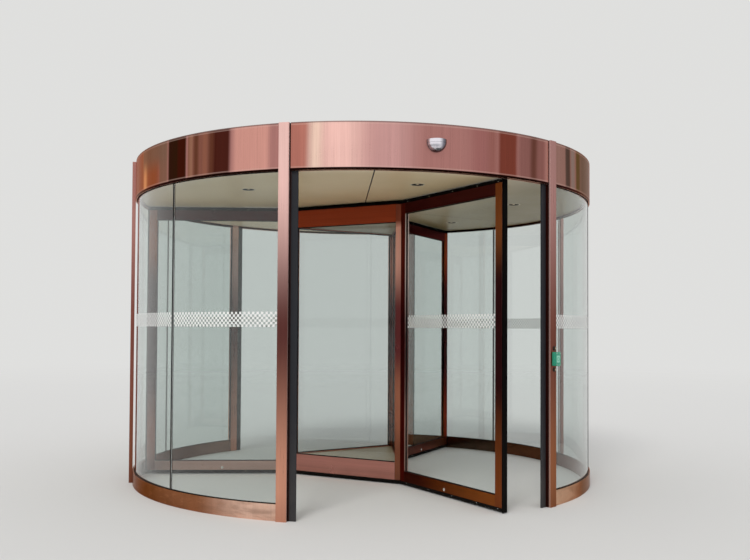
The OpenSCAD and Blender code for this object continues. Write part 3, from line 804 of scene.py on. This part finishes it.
def toward(origin, x, z):
    """Matrix with its origin there, its z axis along z and its x axis near x."""
    z = z.normalized()
    y = z.cross(x).normalized()
    matrix = Matrix((y.cross(z), y, z)).transposed().to_4x4()
    matrix.translation = origin
    return matrix


# printed band on the glass
def curved_band(name, sx, sy):
    """Chequer outside on the curved panes of one quarter, clear of the joint between them."""
    s = Solid()
    r0, r1 = PANE_OUT + SKIN, PANE_OUT + SKIN + FILM_T
    step = math.degrees(BAND_CELL / PANE_OUT)
    clear = math.degrees((PANE_SEAL_W / 2 + 0.001) / PANE_MID)
    for i in range(int((abs(WALL_A) - 0.2) / step)):
        a0, a1 = -(i + 0.1) * step, -(i + 1.1) * step
        if min(abs(a0 + PANE_JOINT), abs(a1 + PANE_JOINT)) < clear:
            continue
        for row in range(i % 2, BAND_ROWS, 2):
            z0 = BAND_Z0 + row * BAND_CELL
            z1 = z0 + BAND_CELL * BAND_FILL
            section = [(r0, z0), (r1, z0), (r1, z1), (r0, z1)]
            ends = (a0 - (1 - BAND_FILL) * step, a1)
            rings = [[polar(r, math.radians(a), z) for r, z in section] for a in ends]
            s.sweep(mirrored(rings, sx, sy))
    s.piece(name, ["film"], "drum")


def wing_band(i):
    """Chequer on one side of a wing's pane."""
    s = Solid()
    place = turned_to(WING_A[i])
    faces = (-GLASS_T / 2 - SKIN, -GLASS_T / 2 - SKIN - FILM_T)
    width = GLASS_X1 - GLASS_X0
    count = int(width / BAND_CELL) - 2
    start = GLASS_X0 + (width - count * BAND_CELL) / 2
    for column in range(count):
        for row in range(column % 2, BAND_ROWS, 2):
            x0, z0 = start + column * BAND_CELL, BAND_Z0 + row * BAND_CELL
            x1, z1 = x0 + BAND_CELL * BAND_FILL, z0 + BAND_CELL * BAND_FILL
            corners = ((x0, z0), (x1, z0), (x1, z1), (x0, z1))
            s.sweep([[place @ Vector((x, y, z)) for x, z in corners] for y in faces])
    s.piece(f"band_wing_{i + 1}", ["film"], "rotor")


# glazing gaskets
def window_gasket(s, place, x0, x1, z0, z1, y, reach):
    """Mitred rubber round a window. The section leans from the frame down to the glass at y."""
    w = GASKET_W
    section = [(0.0, 0.0), (w, 0.0), (w, reach * 0.22), (w * 0.62, reach * 0.62), (w * 0.25, reach),
               (0.0, reach)]
    corners = [(x0, z0, 1, 1), (x1, z0, -1, 1), (x1, z1, -1, -1), (x0, z1, 1, -1)]
    rings = [[place @ Vector((cx + dx * d, y + h, cz + dz * d)) for d, h in section]
             for cx, cz, dx, dz in corners]
    s.sweep(rings, closed=True)


def rotor_gaskets(i):
    """Gaskets on both sides of a wing's pane and of a showcase pane."""
    off_glass = GLASS_T / 2 + SKIN
    wing, core = Solid(), Solid()
    face = turned_to(FACE_A[i] + math.pi / 2)
    for side in (-1, 1):
        window_gasket(wing, turned_to(WING_A[i]), GLASS_X0, GLASS_X1, GLASS_Z0, GLASS_Z1,
                      side * off_glass, side * WING_GASKET)
        window_gasket(core, face, -CORE_W, CORE_W, CORE_Z0, CORE_Z1,
                      -CORE_MID - side * off_glass, -side * CORE_GASKET)
    wing.piece(f"gasket_wing_{i + 1}", ["gasket"], "rotor", "seal_rubber")
    core.piece(f"gasket_showcase_{i + 1}", ["gasket"], "rotor", "seal_rubber")


def bead(reach, tall):
    """Section of a rubber bead in (out from the glass, away from the frame), with one corner cut."""
    return [(0.0, 0.0), (reach, 0.0), (reach, tall * 0.37), (reach * 0.35, tall), (0.0, tall)]


def pane_gaskets(label, sx):
    """Beads at the foot, the top and the post side of a wall's curved panes, inside and outside."""
    s = Solid()
    clear, lift = 0.22, 0.008
    spans = ((-0.15, clear - PANE_JOINT), (-clear - PANE_JOINT, WALL_A + 0.05))
    radial, tangent = directions(math.radians(WALL_A + 0.02))
    for sy in (1, -1):
        for r, reach in ((PANE_OUT + 0.0002, BEAD_REACH), (PANE_IN - 0.0002, -BEAD_REACH)):
            for z, way in ((PLINTH_H + SKIN, 1), (ENTRY_H - SKIN, -1)):
                section = [(r + d, z + t) for d, t in bead(reach, way * BEAD_H)]
                for a0, a1 in spans:
                    s.sweep(mirrored(arc_rings(section, a0, a1), sx, sy), smooth=True)
            points = [radial * (r + d) + tangent * t for d, t in bead(reach, POST_BEAD_H)]
            rings = [[(p.x, p.y, z) for p in points] for z in (PLINTH_H + lift, ENTRY_H - lift)]
            s.sweep(mirrored(rings, sx, sy))
    s.piece("gasket_panes_" + label, ["gasket"], "drum", "seal_rubber")


# brush seals
def seal_paths():
    """Centre lines of the seal in plan, at rest: three sides and three arms."""
    paths = []
    for i in range(3):
        a, b = WING_A[i], WING_A[(i + 1) % 3]
        p, q = Vector(polar(2 * CORE_MID, a, 0)), Vector(polar(2 * CORE_MID, b, 0))
        cut = (q - p).normalized() * 0.02
        paths.append((p + cut, q - cut))
        paths.append((Vector(polar(CORE_R - 0.055, a, 0)), Vector(polar(STILE_X1 - 0.0005, a, 0))))
    return paths


def tuft_ring(centre, size, z):
    return [(centre.x + size * math.cos(t), centre.y + size * math.sin(t), z) for t in TUFT_CORNERS]


def brush(name, node, z_base, z_holder, z_tip):
    """Metal holder with rows of tapered bristle tufts that reach from the base to the tip."""
    s = Solid()
    way = 1 if z_tip > z_base else -1
    half, lip, bend = HOLDER_W / 2, BRUSH_W / 2 + 0.001, 0.002
    root_r, tip_r, root_in, end = 0.0021, 0.0014, 0.012, 0.002
    low = z_holder - way * bend
    section = [(-half, z_base), (half, z_base), (half, low), (half - bend, z_holder), (lip, z_holder),
               (lip, low), (-lip, low), (-lip, z_holder), (bend - half, z_holder), (-half, low)]
    for p, q in seal_paths():
        along = (q - p).normalized()
        side = Vector((-along.y, along.x, 0))
        length = (q - p).length
        s.sweep([[(e.x + side.x * u, e.y + side.y * u, z) for u, z in section] for e in (p, q)])
        count = int(length / TUFT_STEP)
        for k in range(count):
            for row in TUFT_ROWS:
                spot = length * (k + 0.5 + 0.2 * row + rng.uniform(-0.15, 0.15)) / count
                centre = p + along * min(max(spot, end), length - end) + side * (row * BRUSH_W * 0.225)
                lean = along * rng.uniform(-0.0011, 0.0011)
                lean += side * (rng.uniform(-0.0006, 0.0006) + row * 0.0002)
                tip = z_tip - way * rng.uniform(0.0, 0.0016)
                root_ring = tuft_ring(centre, root_r, z_base + way * root_in)
                s.sweep([root_ring, tuft_ring(centre + lean, tip_r, tip)], slot=1)
    obj = s.piece(name, ["holder", "bristle"], "rotor", "brush_black")
    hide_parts(node)


# small hardware
def screw_head(s, place, r, h, slot=0):
    """Low domed head."""
    section = [(AXIS_R, 0.0), (r, 0.0), (r, h * 0.35), (r * 0.8, h * 0.8), (r * 0.45, h), (AXIS_R, h)]
    s.lathe(section, place, 20, slot)


def lock(s, place):
    """Round lock: ring, plug and key slot."""
    plug_r, ring_r, plug_h, ring_h = 0.0066, 0.0125, 0.0012, 0.0026
    inner = plug_r + 0.0002
    s.lathe([(inner, 0.0), (ring_r, 0.0), (ring_r, plug_h), (ring_r - 0.002, ring_h), (inner, ring_h)],
            place, 32)
    s.lathe([(AXIS_R, 0.0), (plug_r, 0.0), (plug_r, plug_h), (AXIS_R, plug_h)], place, 28)
    s.block(place, 0.0008, 0.004, plug_h, plug_h + 0.0003, 1)


def wing_hardware(i):
    """A lock on each side of the bottom rail, and the screws of the brush holders."""
    s = Solid()
    wing = turned_to(WING_A[i])
    along, across = directions(WING_A[i])
    for side in (-1, 1):
        out = across * side
        lock(s, toward(wing @ Vector((LOCK_X, side * (WING_T / 2 + SKIN), LOCK_Z)), along, out))
        for x in HOLDER_SCREWS:
            for z in (FRAME_Z0 - HOLDER_H / 2, FRAME_Z1 + HOLDER_H / 2):
                screw_head(s, toward(wing @ Vector((x, side * HOLDER_W / 2, z)), along, out), 0.0034, 0.0009)
    s.piece(f"hardware_wing_{i + 1}", ["screw", "gasket"], "rotor", "stud_steel")


# downlights
def baffle(r, top, steps=6):
    """Closed section of a stepped cone that narrows upward from the lamp opening."""
    foot, rise, wall = 0.0015, 0.0045, 0.0012
    inner = []
    for k in range(steps):
        r0, z0 = r - wall - k * r * 0.07, foot + k * rise
        inner += [(r0, z0), (r0 - wall, z0 + wall), (r0 - wall, z0 + rise - 0.0003)]
    return inner + [(r * 0.52, top), (r - 0.0004, top), (r - 0.0004, foot)]


def lamp_inserts():
    """Baffle, bulb holder, bulb and face ring of each downlight."""
    r, rim_r = LAMP_D / 2, LIGHT_D / 2
    bulb_r, holder_r, holder_top, bulb_top, baffle_top = 0.0100, 0.0122, 0.0420, 0.0080, 0.031
    face_r = bulb_r - 0.0002
    holder = [(bulb_r, 0.0030), (holder_r - 0.0010, 0.0030), (holder_r, 0.0050), (holder_r, holder_top),
              (bulb_r, holder_top)]
    bulb = [(AXIS_R, 0.0006), (0.0040, 0.0010), (0.0074, 0.0020), (face_r, 0.0036), (face_r, bulb_top),
            (AXIS_R, bulb_top)]
    ring = [(r + 0.0002, -0.0001), (r + 0.0020, -0.0007), (rim_r - 0.0020, -0.0007),
            (rim_r - 0.0002, -0.0001), (rim_r - 0.0002, 0.0), (r + 0.0002, 0.0)]
    s = Solid()
    for k in range(LIGHT_COUNT):
        a = math.radians(LIGHT_FIRST + 360 / LIGHT_COUNT * k)
        place = Matrix.Translation(polar(LIGHT_R, a, CEILING_Z + SEAT))
        s.lathe(baffle(r, baffle_top), place, 48, 0)
        s.lathe(holder, place, 36, 1)
        s.lathe(bulb, place, 36, 2)
        s.lathe(ring, place, 56, 3)
    s.piece("lamp_inserts", ["trim", "cap", "lens", "ring"], "drum", "lamp_trim")


# dome sensors
def dome_seam():
    """Thin seam round the bowl, just below its straight rim."""
    drop, low, high, half = 0.0080, -0.0012, 0.0003, 0.0006
    radius = math.sqrt(DOME_R ** 2 - drop ** 2)
    section = ((low, -half), (high, -half), (high, half), (low, half))
    first, turn, count = -177, 2.9, 61
    rings = []
    for j in range(count):
        t = math.radians(first + turn * j)
        rings.append([((radius + r) * math.cos(t), (radius + r) * math.sin(t) - DRUM_R, DOME_Z - drop + z)
                      for r, z in section])
    return rings


def dome_window():
    """Dark window low on the front of the bowl, with its edges sunk in the shell."""
    low, high, steps = -66, -44, 8
    half_count, turn = 10, 2.2
    face, sunk = DOME_R + 0.0005, DOME_R - 0.0015
    tilts = [math.radians(low + (high - low) * k / steps) for k in range(steps + 1)]
    outline = [(sunk, tilts[0])] + [(face, tilt) for tilt in tilts] + [(sunk, tilts[-1])]
    rings = []
    for j in range(-half_count, half_count + 1):
        t = math.radians(-90 + j * turn)
        rings.append([(r * math.cos(tilt) * math.cos(t), r * math.cos(tilt) * math.sin(t) - DRUM_R,
                       DOME_Z + r * math.sin(tilt)) for r, tilt in outline])
    return rings


def sensor_trim(label, sy):
    s = Solid()
    s.sweep(mirrored(dome_seam(), 1, sy), slot=0, smooth=True)
    s.sweep(mirrored(dome_window(), 1, sy), slot=1, smooth=True)
    s.piece("sensor_trim_" + label, ["seal", "dark_lens"], "drum", "sensor_shell")


# release unit
def on_post(y, z, depth=0.0):
    """Point on the right front post: y across its cover, z up and depth out from it."""
    out, across = directions(POST_A)
    return out * (DRUM_R + POST_PROUD + SEAT + depth) + across * y + Vector((0, 0, z))


def rounded(w, h, r, n=6):
    """Outline of a rounded rectangle about its middle."""
    points = []
    for turn, sx, sy in ((0, 1, 1), (90, -1, 1), (180, -1, -1), (270, 1, -1)):
        for k in range(n + 1):
            t = math.radians(turn + 90 * k / n)
            points.append((sx * (w / 2 - r) + r * math.cos(t), sy * (h / 2 - r) + r * math.sin(t)))
    return points


def release_window(s, y, z):
    """Pale window with a bevelled edge and a ring on it."""
    out, across = directions(POST_A)
    width, height, corner, front = 0.0418, 0.0518, 0.005, 0.0352
    rings = []
    for grow, depth in ((0.0, 0.0331), (0.0, 0.0345), (-0.0012, front), (-0.0030, front)):
        outline = rounded(width + 2 * grow, height + 2 * grow, corner + grow)
        rings.append([on_post(y + u, z + v, depth) for u, v in outline])
    s.sweep(rings, slot=1)
    ring = [(0.0095, 0.0), (0.0140, 0.0), (0.0140, 0.0006), (0.0125, 0.0008), (0.0095, 0.0008)]
    s.lathe(ring, toward(on_post(y, z, front), across, out), 40, 0)


def stud_lock(s, place):
    """Collar round a stud, with a key plug and its slot on the stud's face."""
    inner, face = STUD_R + 0.0002, 0.0091
    s.lathe([(inner, 0.0), (STUD_R + 0.0028, 0.0), (STUD_R + 0.0024, 0.0012), (inner, 0.0026)], place, 40, 3)
    plug = [(AXIS_R, face), (0.0050, face), (0.0062, 0.0096), (0.0050, 0.0102), (AXIS_R, 0.0104)]
    s.lathe(plug, place, 32, 5)
    s.block(place, 0.0006, 0.0032, 0.0100, 0.0107, 4)


def release_trim():
    """Window and screws of the release unit, and the locks above and below it."""
    s = Solid()
    out, across = directions(POST_A)
    mid_y = POST_W - RELEASE_W / 2
    release_window(s, mid_y, RELEASE_Z)
    screw_y, screw_z = 0.020, 0.043
    for dz in (screw_z, -screw_z):
        for dy in (-screw_y, screw_y):
            place = toward(on_post(mid_y + dy, RELEASE_Z + dz, RELEASE_D), across, out)
            screw_head(s, place, 0.0030, 0.0011, 2)
    for way in (-1, 1):
        stud_lock(s, toward(on_post(mid_y, RELEASE_Z + way * STUD_OFFSET), across, out))
    materials = ["green", "green_light", "screw", "stud", "gasket", "brass"]
    s.piece("release_trim", materials, "drum", "release_green")


# end caps of the upright tubes
def end_cap(corner, along_a, along_b):
    """Plate with a bevelled edge, let into the open top of a tube."""
    gap, bevel = 0.0002, 0.0010
    side_a, side_b = along_a.normalized(), along_b.normalized()
    rings = []
    for inset, down in ((gap, 0.0050), (gap, 0.0016), (gap + bevel, 0.0008)):
        first = corner + (side_a + side_b) * inset
        a, b = along_a - side_a * 2 * inset, along_b - side_b * 2 * inset
        rings.append([(p.x, p.y, TOP - down) for p in (first, first + a, first + a + b, first + b)])
    return rings


def end_caps():
    """Caps of the four entrance posts and the two jambs."""
    post, jamb = Solid(), Solid()
    out, across = directions(POST_A)
    corner = out * (INNER_R + POST_WALL) + across * POST_WALL
    deep, wide = WALL_T + POST_PROUD - 2 * POST_WALL, POST_W - 2 * POST_WALL
    post_rings = end_cap(corner, out * deep, across * wide)
    corner = Vector((DRUM_R + SEAT + JAMB_WALL, JAMB_WALL, 0))
    wide, deep = Vector((JAMB_W - 2 * JAMB_WALL, 0, 0)), Vector((0, JAMB_D - 2 * JAMB_WALL, 0))
    jamb_rings = end_cap(corner, wide, deep)
    for sx in (-1, 1):
        for sy in (-1, 1):
            post.sweep(mirrored(post_rings, sx, sy))
        jamb.sweep(mirrored(jamb_rings, sx, 1))
    post.piece("post_caps", ["post_right"], "drum", "rose_copper")
    jamb.piece("jamb_caps", ["jamb"], "drum", "rose_copper")


# stage, light and camera
def link(name, data):
    obj = bpy.data.objects.new(name, data)
    bpy.context.scene.collection.objects.link(obj)
    return obj


def stage_floor():
    """Pale disc that fades out far from the door."""
    count = 96
    mesh = bpy.data.meshes.new("floor")
    rim = [polar(FLOOR_R, 2 * math.pi * k / count, FLOOR_Z) for k in range(count)]
    mesh.from_pydata([(0, 0, FLOOR_Z)] + rim, [], [(0, k + 1, (k + 1) % count + 1) for k in range(count)])
    g = material("stage_floor")
    x, y, _ = g.xyz()
    fade = g.ease(g.radius(x, y), FADE_NEAR, FADE_FAR)
    solid = g.node("BsdfDiffuse", {"Color": (FLOOR_TONE, FLOOR_TONE, FLOOR_TONE * 0.985)})
    clear = g.node("BsdfTransparent")
    both = g.node("MixShader", {0: fade, 1: solid.outputs[0], 2: clear.outputs[0]})
    mesh.materials.append(g.finish(both.outputs[0]))
    obj = link("floor", mesh)


def surroundings():
    """Even pale studio: one tone as light, another where it is seen, through glass or in gloss too."""
    g = Graph(bpy.data.worlds.new("studio"))
    path = g.node("LightPath").outputs
    seen = g.math("MAXIMUM", path["Is Camera Ray"], path["Is Transmission Ray"])
    seen = g.math("MAXIMUM", seen, path["Is Glossy Ray"])
    light = g.node("Background", {0: (LIGHT_TONE, LIGHT_TONE, LIGHT_TONE * 1.01)})
    back = g.node("Background", {0: (BACK_TONE, BACK_TONE, BACK_TONE * 0.985)})
    both = g.node("MixShader", {0: seen, 1: light.outputs[0], 2: back.outputs[0]})
    bpy.context.scene.world = g.finish(both.outputs[0], "OutputWorld")


def key_light():
    """Soft sun from the front left."""
    data = bpy.data.lights.new("key", "SUN")
    data.energy = 1.15
    data.color = (1.0, 0.985, 0.96)
    data.angle = math.radians(22)
    sun = link("key", data)
    sun.location = (-4, -6, 8)
    sun.rotation_euler = (Vector((0, 0, 1)) - sun.location).to_track_quat("-Z", "Y").to_euler()


def camera():
    """The photograph's viewpoint."""
    up = Vector((0, 0, 1))
    level_ahead = Vector((math.sin(YAW), math.cos(YAW), 0))
    level_right = Vector((math.cos(YAW), -math.sin(YAW), 0))
    ahead = level_ahead * math.cos(PITCH) + up * math.sin(PITCH)
    up = up * math.cos(PITCH) - level_ahead * math.sin(PITCH)
    right = level_right * math.cos(ROLL) + up * math.sin(ROLL)
    up = up * math.cos(ROLL) - level_right * math.sin(ROLL)
    data = bpy.data.cameras.new("camera")
    data.sensor_fit = "HORIZONTAL"
    data.sensor_width = SENSOR_MM
    data.lens = FOCAL_PX * SENSOR_MM / PHOTO_W
    data.shift_x = (PHOTO_W / 2 - CENTRE_X) / PHOTO_W
    data.shift_y = (CENTRE_Y - PHOTO_H / 2) / PHOTO_W
    data.clip_start, data.clip_end = 0.05, 500
    matrix = Matrix((right, up, -ahead)).transposed().to_4x4()
    matrix.translation = Vector(CAMERA_AT)
    cam = link("camera", data)
    cam.matrix_world = matrix
    bpy.context.scene.camera = cam
    bpy.context.scene.view_settings.view_transform = "Standard"


dress_nodes()
for end, sy in (("front", 1), ("rear", -1)):
    for side, sx in (("left", -1), ("right", 1)):
        curved_band(f"band_{end}_{side}", sx, sy)
for i in range(3):
    wing_band(i)
for i in range(3):
    rotor_gaskets(i)
pane_gaskets("left", -1)
pane_gaskets("right", 1)
brush("brush_top", "brush_seal_top", FRAME_Z1 + SEAT, FRAME_Z1 + SEAT + HOLDER_H, ROTOR_TOP)
brush("brush_bottom", "brush_seal_bottom", FRAME_Z0 - SEAT, FRAME_Z0 - SEAT - HOLDER_H, FLOOR_GAP)
for i in range(3):
    wing_hardware(i)
lamp_inserts()
sensor_trim("front", 1)
sensor_trim("rear", -1)
release_trim()
end_caps()
stage_floor()
surroundings()
key_light()
camera()
